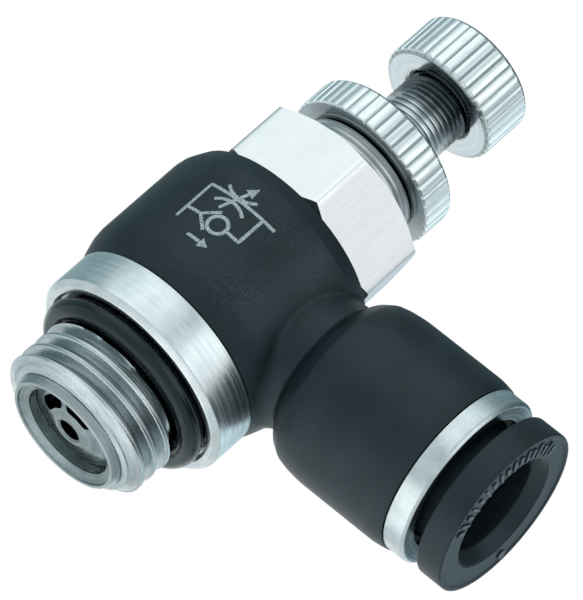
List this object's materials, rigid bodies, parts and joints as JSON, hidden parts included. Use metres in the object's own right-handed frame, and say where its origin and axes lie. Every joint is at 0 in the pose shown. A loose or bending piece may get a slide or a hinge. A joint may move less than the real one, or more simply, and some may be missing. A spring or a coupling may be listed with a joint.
{
  "type": "flow control valve",
  "caption": "Elbow flow control valve: threaded stem with face seal, swivelling banjo body with push-in tube port, hexagon bonnet, knurled adjusting screw and lock nut.",
  "frame": {"origin": "on the stem axis, in the plane of the collar's lower face, which seats on the port the valve is screwed into", "axes": "+Z along the stem from the port thread to the adjusting knob, +X along the tube port, away from the stem"},
  "size_m": [0.0375, 0.0192, 0.0458],
  "materials": {
    "nickel_stem": "nickel-plated brass, turned, satin",
    "nickel_insert": "nickel-plated brass, faced, satin",
    "check_rubber": "moulded rubber, matt",
    "nickel_hex": "nickel-plated brass, fine brushed",
    "nickel_screw": "nickel-plated brass, bright",
    "nickel_knurl": "nickel-plated brass, straight knurl",
    "seal_rubber": "nitrile rubber, satin",
    "body_plastic": "glass-filled polymer, satin slate black",
    "support_plastic": "natural acetal, matt",
    "spring_steel": "stainless spring steel, bright",
    "guide_plastic": "moulded polymer, dark grey",
    "nickel_band": "nickel-plated brass, bright",
    "release_plastic": "acetal, satin slate black"
  },
  "bodies": {
    "stem": {"stem_base": "nickel_stem", "seat_insert": "nickel_insert", "hex_bonnet": "nickel_hex", "port_o_ring": "seal_rubber", "lower_body_o_ring": "seal_rubber", "upper_body_o_ring": "seal_rubber", "bonnet_o_ring": "seal_rubber"},
    "body": {"banjo_body": "body_plastic", "tube_seal": "seal_rubber", "seal_support": "support_plastic", "grab_ring": "spring_steel", "cartridge_guide": "guide_plastic", "retaining_band": "nickel_band"},
    "screw_seal": {"needle_o_ring": "seal_rubber"},
    "screw": {"needle_screw": "nickel_screw", "adjusting_knob": "nickel_knurl"},
    "nut": {"lock_nut": "nickel_knurl"},
    "check": {"check_ring": "check_rubber"},
    "release": {"release_ring": "release_plastic"}
  },
  "joints": [
    {"name": "body_swivel", "type": "hinge", "parent": "stem", "child": "body", "pos_m": [0, 0, 0.01055], "axis": [0, 0, 1], "continuous": true},
    {"name": "screw_lift", "type": "slide", "parent": "stem", "child": "screw_seal", "axis": [0, 0, 1], "range_m": [-0.0024, 0.002]},
    {"name": "screw_turn", "type": "hinge", "parent": "screw_seal", "child": "screw", "pos_m": [0, 0, 0.0168], "axis": [0, 0, 1], "range_deg": [-1728, 1440]},
    {"name": "nut_turn", "type": "hinge", "parent": "stem", "child": "nut", "pos_m": [0, 0, 0.027], "axis": [0, 0, 1], "range_deg": [0, 720]},
    {"name": "check_lift", "type": "slide", "parent": "stem", "child": "check", "axis": [0, 0, 1], "range_m": [0, 0.0008]},
    {"name": "release_press", "type": "slide", "parent": "body", "child": "release", "axis": [-1, 0, 0], "range_m": [0, 0.001], "stiffness_N_per_m": 500}
  ],
  "couplings": [
    {"joint": "screw_turn", "follows": "screw_lift", "rad_per_m": 12566}
  ]
}
